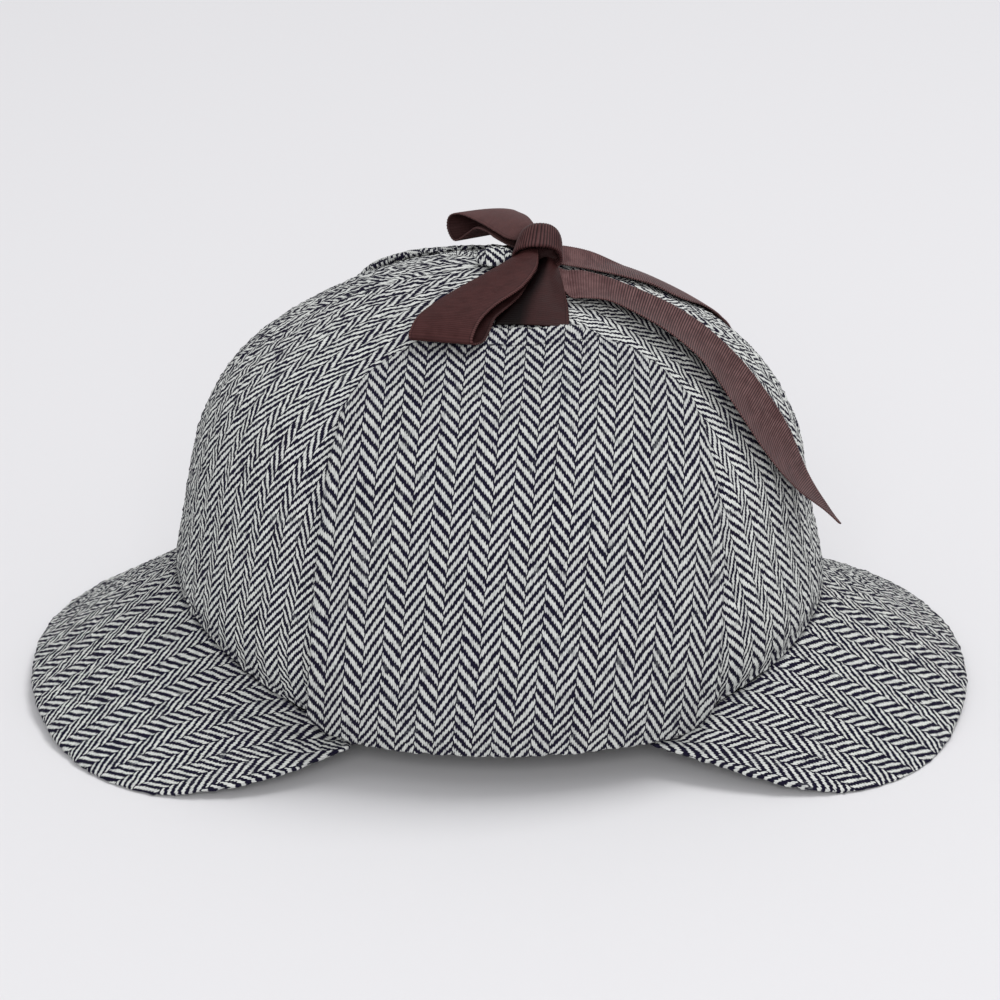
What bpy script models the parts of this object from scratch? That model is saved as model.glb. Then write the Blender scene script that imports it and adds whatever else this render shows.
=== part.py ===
"""A deerstalker hat: a crown of six tweed panels, two peaks, two ear flaps folded up over the
crown, and the ribbon that ties the flaps in a bow on top.

The hat stands on the low edges of its peaks. -X is the front, -Y is the near side and +Z is up.
Sizes below are in millimetres, and the objects are made in metres.
"""

import math

import bmesh
import bpy
from mathutils import Vector

MM = 0.001

# Cloth
CROWN_WALL = 2.2  # tweed with its seam allowance
PEAK_WALL = 3.0  # two layers of tweed on a stiff board
FLAP_WALL = 3.0  # two layers of tweed
RIBBON_WALL = 1.0
GAP = 0.3  # between pieces that touch

# The crown's outer face, a row for each level from below the rim to the apex.
# height, then how far the crown reaches to the front, to the back and to each side
CROWN_SECTIONS = (
    (8.0, 100.0, 104.0, 83.0),
    (37.0, 108.5, 109.0, 90.0),
    (65.0, 105.0, 104.0, 87.5),
    (91.0, 99.6, 98.8, 82.0),
    (113.0, 87.0, 85.4, 70.5),
    (130.0, 63.0, 62.6, 52.0),
    (141.0, 37.0, 37.0, 31.0),
    (147.5, 0.0, 0.0, 0.0),
)
APEX_LEVEL = len(CROWN_SECTIONS) - 1
APEX_HEIGHT = CROWN_SECTIONS[-1][0]
PANEL_TIP_LEVEL = APEX_LEVEL - 0.05  # the tips stop just short of the apex, under the button
PANEL_ANGLE = 60.0

# The rim of the crown: low and level under the flaps, rising to the middle of each peak
RIM_SIDE_HEIGHT = 13.5
RIM_FRONT_HEIGHT = 40.0
RIM_BACK_HEIGHT = 34.0
RIM_LEVEL_FROM = 65.0  # degrees from the hat's long axis at which the rim is level
RIM_CURVE = 1.4

# Peak widths, a row for each angle from the middle of the peak: angle, front peak, back peak
PEAK_WIDTHS = (
    (0.0, 60.4, 57.7),
    (14.0, 60.5, 58.2),
    (28.0, 59.2, 58.2),
    (38.0, 52.8, 51.0),
    (46.0, 40.0, 37.6),
    (53.0, 25.8, 21.6),
    (59.0, 11.9, 9.0),
    (62.5, 3.7, 3.0),
)
PEAK_END_ANGLE = PEAK_WIDTHS[-1][0]
PEAKS = (
    # name, direction, column of its widths, slope at the middle, slope at the ends
    ("front_peak", -1, 1, 33.8, 21.4),
    ("back_peak", 1, 2, 30.2, 19.8),
)

# Ear flap outline, a row for each distance up the crown from the fold: distance, front edge, back edge
FLAP_OUTLINE = (
    (0.0, -43.0, 43.0),
    (1.3, -47.0, 51.0),
    (3.4, -50.5, 58.5),
    (6.8, -54.5, 64.5),
    (14.0, -58.5, 68.5),
    (32.0, -58.5, 69.0),
    (58.0, -56.5, 68.8),
    (80.0, -54.0, 67.0),
    (98.0, -51.0, 63.8),
    (112.0, -47.0, 58.0),
    (122.0, -40.5, 49.5),
    (131.0, -32.0, 40.5),
    (138.0, -22.5, 30.5),
    (144.0, -12.0, 22.5),
)
FLAPS = (
    # name, side, clearance at the fold, how much more halfway up, and at the front of its top edge
    ("ear_flap_near", -1, 1.1, 0.7, 0.0),
    ("ear_flap_far", 1, 1.1, 0.7, 1.8),
)

BUTTON_RADIUS = 6.2
BUTTON_HEIGHT = 4.6
BUTTON_X = -1.5

KNOT_CENTRE = (13.0, 0.0, 153.5)
KNOT_HALF_SIZE = (7.5, 6.8, 6.7)
KNOT_SQUARENESS = 0.8  # 1 is an ellipsoid, and less is boxier

# Ribbon pieces, a row for each cross-line of the ribbon, as the points of its two edges:
# inner edge x, y, z and then outer edge x, y, z. The far loop and tail have tables of their
# own because the bow isn't the same on its two sides.
LOOP_NEAR = (
    (12.1, -7.6, 153.0, 4.7, -5.2, 151.1),
    (11.4, -16.0, 150.6, -4.0, -14.0, 149.2),
    (6.2, -27.0, 148.3, -12.9, -22.5, 147.2),
    (-1.1, -36.0, 146.6, -20.1, -31.0, 145.7),
    (-5.6, -43.9, 144.5, -25.8, -38.7, 143.8),
    (-8.0, -50.0, 140.9, -28.2, -44.8, 140.4),
    (-4.8, -46.6, 140.3, -26.0, -42.2, 139.5),
    (-3.0, -42.2, 142.4, -24.0, -38.0, 141.1),
    (-1.2, -37.4, 143.3, -21.8, -33.2, 142.0),
    (5.6, -27.0, 145.2, -14.4, -23.0, 144.2),
    (11.0, -16.0, 147.8, -4.6, -14.0, 147.0),
    (12.6, -7.6, 149.7, 5.4, -6.0, 149.2),
)
LOOP_FAR = (
    (5.6, 5.0, 153.6, 12.4, 8.9, 156.4),
    (1.8, 10.0, 152.4, 9.6, 20.0, 155.8),
    (-3.1, 20.0, 151.9, 6.6, 31.0, 153.5),
    (-8.4, 30.0, 151.4, 4.4, 40.0, 151.2),
    (-13.4, 38.0, 150.6, 3.2, 46.0, 148.9),
    (-17.3, 41.5, 145.9, 1.2, 50.0, 144.0),
    (-14.5, 37.8, 144.0, 2.9, 46.2, 143.4),
    (-9.1, 29.0, 146.4, 4.9, 38.0, 145.6),
    (-3.8, 19.0, 149.2, 7.2, 28.0, 149.0),
    (2.2, 10.6, 150.6, 10.6, 17.6, 150.8),
    (5.4, 5.8, 151.4, 11.4, 8.4, 151.6),
)
LEG_NEAR = (
    (1.0, -33.8, 141.2, 22.0, -33.6, 139.9),
    (3.2, -27.0, 143.0, 22.0, -27.0, 142.0),
    (8.2, -17.0, 145.8, 20.8, -17.0, 144.9),
    (12.2, -5.8, 147.7, 18.2, -5.8, 147.8),
)
LEG_FAR = (
    (1.0, 33.8, 141.2, 22.0, 33.6, 139.9),
    (3.2, 27.0, 143.0, 22.0, 27.0, 142.0),
    (8.2, 17.0, 145.8, 20.8, 17.0, 144.9),
    (12.2, 5.8, 147.7, 18.2, 5.8, 147.8),
)
TAIL_NEAR = (
    (20.4, -5.4, 149.4, 20.6, -1.0, 150.6),
    (27.1, -19.5, 143.4, 27.1, -3.5, 146.2),
    (35.7, -21.5, 140.9, 37.1, -5.5, 143.8),
    (48.8, -26.6, 135.8, 52.4, -7.5, 137.8),
    (59.0, -29.0, 129.6, 63.5, -8.5, 131.6),
    (66.9, -33.0, 122.9, 72.4, -11.8, 125.2),
    (75.2, -38.0, 113.3, 81.8, -18.0, 116.9),
    (86.1, -40.0, 96.0, 93.0, -22.2, 101.4),
    (96.0, -37.0, 83.5, 100.8, -24.0, 83.0),
    (106.0, -30.4, 73.1, 108.0, -25.4, 71.3),
    (111.2, -27.0, 66.9, 111.9, -25.6, 65.9),
)
TAIL_FAR = (
    (20.4, 1.4, 149.6, 20.2, 6.0, 151.0),
    (29.8, 2.2, 144.3, 30.2, 17.5, 142.6),
    (40.1, 4.4, 141.2, 39.6, 22.5, 138.6),
    (50.6, 6.2, 137.2, 48.5, 26.5, 133.7),
    (60.3, 9.5, 131.9, 57.0, 30.5, 128.0),
    (70.5, 16.5, 124.4, 65.2, 37.0, 120.0),
    (79.4, 24.8, 114.9, 67.2, 43.9, 114.3),
    (85.9, 33.6, 101.0, 72.0, 51.8, 101.6),
    (88.3, 41.2, 86.5, 75.4, 56.4, 88.0),
    (85.7, 49.9, 72.0, 78.0, 58.0, 74.6),
    (81.5, 56.7, 63.9, 79.9, 58.1, 64.4),
)
RIBBONS = (
    # name, edge table, cells along the ribbon, how far its middle line rises over its edges
    ("tie_loop_near", LOOP_NEAR, 34, 0.0),
    ("tie_loop_far", LOOP_FAR, 34, 0.0),
    ("tie_leg_near", LEG_NEAR, 10, 0.4),
    ("tie_leg_far", LEG_FAR, 10, 0.4),
    ("tie_tail_near", TAIL_NEAR, 26, 0.7),
    ("tie_tail_far", TAIL_FAR, 26, 0.9),
)

# Cells of each grid
PANEL_CELLS = (8, 13)
PEAK_CELLS = (40, 5)
FLAP_CELLS = (14, 20)
RIBBON_CELLS_ACROSS = 3

FLOOR_CUTTER_DEPTH = 20.0


def spline(rows, at, mirror_end=False):
    """The row at this place along the table, on a smooth curve through all its rows."""
    first = [2 * a - b for a, b in zip(rows[0], rows[1])]
    last = [2 * a - b for a, b in zip(rows[-1], rows[-2])]
    if mirror_end:  # the profile crosses its axis here, so it goes on as its own mirror image
        last = [rows[-2][0]] + [-value for value in rows[-2][1:]]
    padded = [first, *rows, last]
    i = min(max(int(at), 0), len(rows) - 2)
    t = at - i
    before, start, end, after = padded[i : i + 4]
    return [
        0.5 * (2 * b + (c - a) * t + (2 * a - 5 * b + 4 * c - d) * t**2 + (3 * b - a - 3 * c + d) * t**3)
        for a, b, c, d in zip(before, start, end, after)
    ]


def place_in(rows, column, value, mirror_end=False):
    """Where along the table this column reaches the value, for a column that only rises."""
    low, high = 0.0, float(len(rows) - 1)
    for _ in range(40):
        middle = 0.5 * (low + high)
        if spline(rows, middle, mirror_end)[column] < value:
            low = middle
        else:
            high = middle
    return 0.5 * (low + high)


def crown_point(angle, level, lift=0.0):
    """A point on the crown's outer face, or lifted off it. Angle 0 is the back, in radians."""
    height, front, back, side = spline(CROWN_SECTIONS, level, mirror_end=True)
    reach = back if math.cos(angle) > 0 else front
    point = Vector((reach * math.cos(angle), side * math.sin(angle), height))
    if not lift:
        return point
    step = 0.01
    around = crown_point(angle + step, level) - crown_point(angle - step, level)
    top = min(level + step, APEX_LEVEL - step)
    up = crown_point(angle, top) - crown_point(angle, level - step)
    return point + lift * around.cross(up).normalized()


def rim_height(angle):
    """The height of the crown's lower edge."""
    level_cos = math.cos(math.radians(RIM_LEVEL_FROM))
    rise = max(abs(math.cos(angle)) - level_cos, 0.0) / (1 - level_cos)
    top = RIM_BACK_HEIGHT if math.cos(angle) > 0 else RIM_FRONT_HEIGHT
    return RIM_SIDE_HEIGHT + (top - RIM_SIDE_HEIGHT) * rise**RIM_CURVE


def rim_level(angle):
    return place_in(CROWN_SECTIONS, 0, rim_height(angle), mirror_end=True)


def side_levels(steps=400):
    """Pairs of the distance up the side of the crown from its rim, and the level there."""
    start = place_in(CROWN_SECTIONS, 0, RIM_SIDE_HEIGHT, mirror_end=True)
    levels = [start + (APEX_LEVEL - start) * i / steps for i in range(steps + 1)]
    points = [crown_point(-math.pi / 2, level) for level in levels]
    pairs = [(0.0, start)]
    for before, point, level in zip(points, points[1:], levels[1:]):
        pairs.append((pairs[-1][0] + (point - before).length, level))
    return pairs


SIDE_LEVELS = side_levels()


def level_at(distance):
    """The crown's level at this distance up its side from the rim."""
    for (d0, l0), (d1, l1) in zip(SIDE_LEVELS, SIDE_LEVELS[1:]):
        if distance <= d1:
            return l0 + (l1 - l0) * (distance - d0) / (d1 - d0)
    return SIDE_LEVELS[-1][1]


def material(name, colour, roughness):
    made = bpy.data.materials.new(name)
    made.use_nodes = True
    shader = made.node_tree.nodes["Principled BSDF"]
    shader.inputs["Base Color"].default_value = (*colour, 1.0)
    shader.inputs["Roughness"].default_value = roughness
    shader.inputs["Metallic"].default_value = 0.0
    return made


def add_object(name, form, collection, finish):
    """A new object from a bmesh, whose faces are made to point outwards."""
    mesh = bpy.data.meshes.new(name)
    form.to_mesh(mesh)
    form.free()
    made = bpy.data.objects.new(name, mesh)
    collection.objects.link(made)
    if finish:
        mesh.materials.append(finish)
    mesh.shade_smooth()
    return made


def sheet(name, cells, place, wall, collection, finish, flip=False):
    """A sheet of cloth: a grid laid over a surface, with a wall on the inner side of it.

    place gives a point in millimetres from two shares, across and along, that run from 0 to 1.
    """
    form = bmesh.new()
    bmesh.ops.create_grid(form, x_segments=cells[0], y_segments=cells[1], size=0.5)
    for vertex in form.verts:
        vertex.co = MM * place(vertex.co.x + 0.5, vertex.co.y + 0.5)
    if flip:
        bmesh.ops.reverse_faces(form, faces=form.faces)
    made = add_object(name, form, collection, finish)
    thickness = made.modifiers.new("wall", "SOLIDIFY")
    thickness.thickness = wall * MM
    thickness.offset = -1.0
    thickness.use_even_offset = False
    return made


def crown_panel(name, start_angle, collection, finish):
    """One wedge of the crown, with half a gap left along each seam."""

    def place(across, along):
        middle = math.radians(start_angle + PANEL_ANGLE * across)
        low = rim_level(middle)
        level = low + (PANEL_TIP_LEVEL - low) * along
        _, front, back, side = spline(CROWN_SECTIONS, level, mirror_end=True)
        seam = math.degrees(0.9 * GAP / min(front, back, side))
        angle = math.radians(start_angle + seam + (PANEL_ANGLE - 2 * seam) * across)
        return crown_point(angle, level)

    return sheet(name, PANEL_CELLS, place, CROWN_WALL, collection, finish)


def crown(collection, tweed):
    names = ("back_far", "side_far", "front_far", "front_near", "side_near", "back_near")
    for i, name in enumerate(names):
        crown_panel("panel_" + name, i * PANEL_ANGLE, collection, tweed)


def peak(name, direction, column, middle_slope, end_slope, collection, finish):
    """A crescent that slopes down and out from the crown's rim."""

    def place(across, along):
        from_middle = PEAK_END_ANGLE * (2 * across - 1)
        angle = math.radians(from_middle if direction > 0 else 180 + from_middle)
        level = rim_level(angle)
        inner = crown_point(angle, level)
        ahead = crown_point(angle + 0.01, rim_level(angle + 0.01))
        behind = crown_point(angle - 0.01, rim_level(angle - 0.01))
        outward = Vector((ahead.y - behind.y, behind.x - ahead.x, 0.0)).normalized()
        width = spline(PEAK_WIDTHS, place_in(PEAK_WIDTHS, 0, abs(from_middle)))[column]
        ends = (abs(from_middle) / PEAK_END_ANGLE) ** 2
        slope = math.radians(middle_slope + (end_slope - middle_slope) * ends)
        down_and_out = outward * math.cos(slope) - Vector((0, 0, math.sin(slope)))
        return inner + outward * GAP + down_and_out * width * along

    return sheet(name, PEAK_CELLS, place, PEAK_WALL, collection, finish, flip=True)


def floor_cutter(collection):
    """A slab whose top is the floor. It flattens the low edges of the peaks."""
    form = bmesh.new()
    bmesh.ops.create_cube(form, size=1.0)
    bmesh.ops.scale(form, vec=(0.5, 0.4, FLOOR_CUTTER_DEPTH * MM), verts=form.verts)
    bmesh.ops.translate(form, vec=(0, 0, -0.5 * FLOOR_CUTTER_DEPTH * MM), verts=form.verts)
    cutter = add_object("floor_cutter", form, collection, None)
    cutter.hide_render = True
    cutter.display_type = "WIRE"
    return cutter


def peaks(collection, tweed, cutter):
    for row in PEAKS:
        made = peak(*row, collection, tweed)
        cut = made.modifiers.new("rests_flat", "BOOLEAN")
        cut.operation = "DIFFERENCE"
        cut.object = cutter


def ear_flap(name, side, clearance, middle_lift, top_lift, collection, finish):
    """A flap folded up over the side of the crown. side is -1 for the near one and 1 for the far."""
    longest = FLAP_OUTLINE[-1][0]

    def place(across, along):
        row = place_in(FLAP_OUTLINE, 0, longest * along)
        distance, front, back = spline(FLAP_OUTLINE, row)
        level = level_at(distance)
        x = front + (back - front) * across
        _, front_reach, back_reach, _ = spline(CROWN_SECTIONS, level, mirror_end=True)
        angle = math.acos(x / (back_reach if x > 0 else front_reach))
        lift = clearance + middle_lift * math.sin(math.pi * along) + top_lift * along**3 * (1 - across)
        return crown_point(side * angle, level, lift + FLAP_WALL)

    return sheet(name, FLAP_CELLS, place, FLAP_WALL, collection, finish, flip=side > 0)


def button(collection, tweed):
    """A domed button, turned from a half outline."""
    form = bmesh.new()
    base = APEX_HEIGHT + GAP
    outline = [(0.0, base + BUTTON_HEIGHT)]
    for step in range(1, 7):
        turn = math.radians(15 * step)
        outline.append((BUTTON_RADIUS * math.sin(turn), base + 0.8 + (BUTTON_HEIGHT - 0.8) * math.cos(turn)))
    outline.append((BUTTON_RADIUS - 0.6, base))
    outline.append((0.0, base))
    points = [form.verts.new((radius * MM, 0.0, height * MM)) for radius, height in outline]
    for start, end in zip(points, points[1:]):
        form.edges.new((start, end))
    made = add_object("top_button", form, collection, tweed)
    made.location.x = BUTTON_X * MM
    turned = made.modifiers.new("turned", "SCREW")
    turned.steps = 20
    turned.render_steps = 20
    turned.use_merge_vertices = True
    turned.merge_threshold = 0.00001
    return made


def knot(collection, ribbon):
    """The wound ribbon at the middle of the bow."""
    form = bmesh.new()
    bmesh.ops.create_uvsphere(form, u_segments=18, v_segments=12, radius=1.0)
    for vertex in form.verts:
        for axis in range(3):
            value = vertex.co[axis]
            rounded = math.copysign(abs(value) ** KNOT_SQUARENESS, value)
            vertex.co[axis] = MM * (KNOT_CENTRE[axis] + KNOT_HALF_SIZE[axis] * rounded)
    return add_object("tie_knot", form, collection, ribbon)


def ribbon_piece(name, edges, cells_along, rise, collection, finish):
    """A ribbon laid between the two edge lines of a table."""

    def edge_points(along):
        row = spline(edges, along * (len(edges) - 1))
        return Vector(row[:3]), Vector(row[3:])

    def place(across, along):
        inner, outer = edge_points(along)
        point = inner.lerp(outer, across)
        if not rise:
            return point
        ahead, behind = edge_points(min(along + 0.01, 1.0)), edge_points(max(along - 0.01, 0.0))
        up = (outer - inner).cross(sum(ahead, Vector()) - sum(behind, Vector())).normalized()
        return point + math.copysign(4 * rise * across * (1 - across), up.z) * up

    made = sheet(name, (RIBBON_CELLS_ACROSS, cells_along), place, RIBBON_WALL, collection, finish)
    made.modifiers["wall"].offset = 0.0
    return made


def bow(collection, ribbon):
    knot(collection, ribbon)
    for row in RIBBONS:
        ribbon_piece(*row, collection, ribbon)


def main():
    for leftover in list(bpy.data.objects):
        bpy.data.objects.remove(leftover, do_unlink=True)
    hat = bpy.data.collections.new("deerstalker_hat")
    cutters = bpy.data.collections.new("cutters")
    bpy.context.scene.collection.children.link(hat)
    bpy.context.scene.collection.children.link(cutters)
    tweed = material("tweed", (0.33, 0.33, 0.34), 0.9)
    ribbon = material("ribbon", (0.085, 0.035, 0.031), 0.5)
    crown(hat, tweed)
    button(hat, tweed)
    peaks(hat, tweed, floor_cutter(cutters))
    for row in FLAPS:
        ear_flap(*row, hat, tweed)
    bow(hat, ribbon)


main()
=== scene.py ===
# A deerstalker hat in herringbone tweed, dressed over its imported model.
# Lengths in the dictionaries are millimetres; the meshes are in metres.
import math
from functools import partial

import bmesh
import bpy
import numpy as np
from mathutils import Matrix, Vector


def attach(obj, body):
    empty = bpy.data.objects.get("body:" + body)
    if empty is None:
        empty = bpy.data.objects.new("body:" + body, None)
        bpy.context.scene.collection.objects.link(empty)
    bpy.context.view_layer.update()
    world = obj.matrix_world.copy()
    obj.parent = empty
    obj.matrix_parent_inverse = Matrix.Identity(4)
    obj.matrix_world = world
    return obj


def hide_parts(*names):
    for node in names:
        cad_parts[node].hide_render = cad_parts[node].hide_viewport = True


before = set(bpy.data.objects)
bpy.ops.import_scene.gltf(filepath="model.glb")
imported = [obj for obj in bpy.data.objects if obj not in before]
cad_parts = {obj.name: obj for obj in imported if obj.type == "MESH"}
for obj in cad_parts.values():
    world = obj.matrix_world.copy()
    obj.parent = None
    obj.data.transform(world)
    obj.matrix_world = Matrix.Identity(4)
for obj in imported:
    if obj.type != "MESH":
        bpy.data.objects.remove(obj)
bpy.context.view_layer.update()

mm = 0.001


def limited(value):
    # kept between 0 and 1
    return np.clip(value, 0, 1)


hat = bpy.data.collections.new("hatPieces")
bpy.context.scene.collection.children.link(hat)

# the crown's surface, which every other piece is laid on
crown = {
    # height, then the reach to the front, to the back and to each side
    "sections": (
        (8.0, 100.0, 104.0, 83.0),
        (37.0, 108.5, 109.0, 90.0),
        (65.0, 105.0, 104.0, 87.5),
        (91.0, 99.6, 98.8, 82.0),
        (113.0, 87.0, 85.4, 70.5),
        (130.0, 63.0, 62.6, 52.0),
        (141.0, 37.0, 37.0, 31.0),
        (147.5, 0.0, 0.0, 0.0),
    ),
    "wall": 2.2,
    "rimSide": 13.5,
    "rimFront": 40.0,
    "rimBack": 34.0,
    "rimLevelFrom": 65.0,  # degrees from the hat's long axis
    "rimCurve": 1.4,
}


def smoothRows(rows, perStep, mirrorEnd=False):
    # a smooth curve through every row, sampled finely
    table = np.array(rows, float)
    first = 2 * table[0] - table[1]
    last = 2 * table[-1] - table[-2]
    if mirrorEnd:
        last = np.concatenate((table[-2][:1], -table[-2][1:]))
    padded = np.vstack((first, table, last))
    at = np.linspace(0, len(table) - 1, (len(table) - 1) * perStep + 1)
    i = np.minimum(at.astype(int), len(table) - 2)
    t = (at - i)[:, None]
    a, b, c, d = padded[i], padded[i + 1], padded[i + 2], padded[i + 3]
    square, cube = (2 * a - 5 * b + 4 * c - d) * t**2, (3 * b - a - 3 * c + d) * t**3
    return at, 0.5 * (2 * b + (c - a) * t + square + cube)


levels, sections = smoothRows(crown["sections"], 200, mirrorEnd=True)
apexLevel = levels[-1]


def lengthAlong(line):
    steps = np.linalg.norm(np.diff(line, axis=0), axis=1)
    return np.concatenate(([0], np.cumsum(steps)))


def crownReach(level):
    # how far the crown reaches to the front, to the back and to each side
    return [np.interp(level, levels, sections[:, k]) for k in (1, 2, 3)]


def crownOn(angle, level):
    height = np.interp(level, levels, sections[:, 0])
    front, back, side = crownReach(level)
    reach = np.where(np.cos(angle) > 0, back, front)
    return np.stack((reach * np.cos(angle), side * np.sin(angle), height), -1)


def crownFacing(angle, level):
    step = 0.01
    around = crownOn(angle + step, level) - crownOn(angle - step, level)
    up = crownOn(angle, np.minimum(level + step, apexLevel - step)) - crownOn(angle, level - step)
    facing = np.cross(around, up)
    return facing / np.linalg.norm(facing, axis=-1, keepdims=True)


def crownLifted(angle, level, lift):
    return crownOn(angle, level) + np.asarray(lift)[..., None] * crownFacing(angle, level)


def keptOff(points, clearance):
    # points moved out along the crown's facing where they are closer to it than the clearance
    x, y, height = points.T
    level = np.minimum(np.interp(height, sections[:, 0], levels), apexLevel - 0.5)
    front, back, side = crownReach(level)
    angle = np.arctan2(y / side, x / np.where(x > 0, back, front))
    facing = crownFacing(angle, level)
    distance = np.sum((points - crownOn(angle, level)) * facing, axis=1)
    push = np.maximum(clearance - distance, 0) * limited((144 - height) / 3)
    return points + push[:, None] * facing


def rimHeight(angle):
    levelCos = math.cos(math.radians(crown["rimLevelFrom"]))
    rise = np.maximum(np.abs(np.cos(angle)) - levelCos, 0) / (1 - levelCos)
    top = np.where(np.cos(angle) > 0, crown["rimBack"], crown["rimFront"])
    return crown["rimSide"] + (top - crown["rimSide"]) * rise ** crown["rimCurve"]


def rimLevel(angle):
    return np.interp(rimHeight(angle), sections[:, 0], levels)


# distance up the side of the crown from its rim, and back to a level
sideLevels = np.linspace(np.interp(crown["rimSide"], sections[:, 0], levels), apexLevel, 1200)
sideLine = crownOn(np.full_like(sideLevels, -math.pi / 2), sideLevels)
sideDistance = lengthAlong(sideLine)


def levelAt(distance):
    return np.interp(distance, sideDistance, sideLevels)


def clothWaves(place, size, seed):
    # slow soft undulation from a few crossed waves, between -1 and 1
    rng = np.random.default_rng(seed)
    total = np.zeros(place.shape[:-1])
    count = 7
    for _ in range(count):
        direction = rng.normal(size=3)
        direction /= np.linalg.norm(direction)
        wavelength = size * rng.uniform(0.7, 1.6)
        start = rng.uniform(0, 6.28)
        total += np.sin(place @ direction * (2 * math.pi / wavelength) + start)
    return total / count


def gridLines(length, cell):
    # parameter values from 0 to 1, closer together near the ends, where a piece rolls over
    close = [0.0, 0.3, 0.75, 1.4, 2.2, 3.2]
    middle = length - close[-1] - close[-1]
    count = max(int(round(middle / cell)), 1)
    inner = [close[-1] + middle * k / count for k in range(1, count)]
    return np.array(close + inner + [length - c for c in reversed(close)]) / length


def startGrid(acrossLines, alongLines):
    form = bmesh.new()
    nx, ny = len(acrossLines) - 1, len(alongLines) - 1
    bmesh.ops.create_grid(form, x_segments=nx, y_segments=ny, size=0.5)
    form.verts.ensure_lookup_table()
    i = np.array([int(round((v.co.x + 0.5) * nx)) for v in form.verts])
    j = np.array([int(round((v.co.y + 0.5) * ny)) for v in form.verts])
    return form, acrossLines[i], alongLines[j]


def layPoints(verts, points):
    for vert, point in zip(verts, points * mm):
        vert.co = point


def finishObject(name, form, material, subdivide=0):
    mesh = bpy.data.meshes.new(name)
    form.to_mesh(mesh)
    form.free()
    mesh.materials.append(material)
    mesh.shade_smooth()
    made = bpy.data.objects.new(name, mesh)
    hat.objects.link(made)
    if subdivide:
        smooth = made.modifiers.new("smooth", "SUBSURF")
        smooth.levels = smooth.render_levels = subdivide
        nap = made.modifiers.new("nap", "DISPLACE")
        nap.texture = napTexture
        nap.texture_coords = "LOCAL"
        nap.mid_level = 0.5
        nap.strength = tweed["napDepth"] * mm
    return made


def clothPad(name, acrossLines, alongLines, shape, material, flip=False, subdivide=1, foldAt=None):
    # a closed piece of cloth from two grids that share their outline. shape(across, along) gives
    # outer points, inner points, uv in mm, how much painted shade darkens the outer and inner faces,
    # and how near a row of stitches is, 1 on the row and 0 at 3 mm from it. foldAt is the place
    # along the cloth where the pattern runs on over the edge
    form, across, along = startGrid(acrossLines, alongLines)
    outer, inner, uv, outerPaintedShade, innerPaintedShade, nearStitch = shape(across, along)
    onOutline = (across == 0) | (across == 1) | (along == 0) | (along == 1)
    outer[onOutline] = inner[onOutline] = 0.5 * (outer + inner)[onOutline]
    uvX = form.verts.layers.float.new("flatX")
    uvY = form.verts.layers.float.new("flatY")
    paintedShadeLayer = form.verts.layers.float.new("paintedShade")
    stitchLayer = form.verts.layers.float.new("stitch")
    isInner = form.faces.layers.int.new("isInner")
    frontVerts = list(form.verts)
    for vert, flat, dark, near in zip(frontVerts, uv, outerPaintedShade, nearStitch):
        vert[uvX], vert[uvY] = flat
        vert[paintedShadeLayer], vert[stitchLayer] = dark, near
    copied = bmesh.ops.duplicate(form, geom=form.verts[:] + form.edges[:] + form.faces[:])
    backVerts = [copied["vert_map"][v] for v in frontVerts]
    backFaces = [e for e in copied["geom"] if isinstance(e, bmesh.types.BMFace)]
    layPoints(frontVerts, outer)
    layPoints(backVerts, inner)
    for vert, dark in zip(backVerts, innerPaintedShade):
        vert[paintedShadeLayer] = dark
    for face in backFaces:
        face[isInner] = 1
    bmesh.ops.reverse_faces(form, faces=backFaces)
    rim = [v for v in form.verts if v.is_boundary]
    bmesh.ops.remove_doubles(form, verts=rim, dist=0.00002)
    if flip:
        bmesh.ops.reverse_faces(form, faces=form.faces)
    weave = form.loops.layers.uv.new("weave")
    for face in form.faces:
        turned = foldAt is not None and face[isInner]
        for loop in face.loops:
            vert = loop.vert
            loop[weave].uv = (vert[uvX], 2 * foldAt - vert[uvY] if turned else vert[uvY])
    for key in ("flatX", "flatY"):
        form.verts.layers.float.remove(form.verts.layers.float[key])
    form.faces.layers.int.remove(form.faces.layers.int["isInner"])
    return finishObject(name, form, material, subdivide)


# how the cloth is cut and drawn over a piece. start: the weave's own place at the centre; closer:
# the share by which the columns are set closer; lean and fan: how the columns lean, and how that
# grows to the sides; tilt, arch and sag: how the rows of stripes climb across the piece, bend
# towards both sides, and shift above and below the centre
plainLie = {"centre": (0.0, 0.0), "start": (0.0, 0.0), "closer": 0.0, "lean": 0.0, "fan": 0.0,
            "tilt": 0.0, "arch": 0.0, "sag": 0.0}


def layCloth(uv, lie):
    # how the woven columns lie on a piece: u runs across them and v along them
    lie = {**plainLie, **lie}
    a, b = uv[:, 0] - lie["centre"][0], uv[:, 1] - lie["centre"][1]
    s, t = a / 50, b / 50  # fan, arch and sag are in mm at 50 mm from the centre
    u = a * (1 + lie["closer"]) + b * lie["lean"] + lie["fan"] * s * t
    v = b + a * lie["tilt"] + lie["arch"] * s * s + lie["sag"] * t * t
    return np.stack((u + lie["start"][0], v + lie["start"][1]), -1)


def rollOver(distance, radius):
    # 0 at an edge, rising to 1 as a quarter round
    return np.sqrt(np.maximum(1 - (1 - limited(distance / radius)) ** 2, 0))


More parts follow.
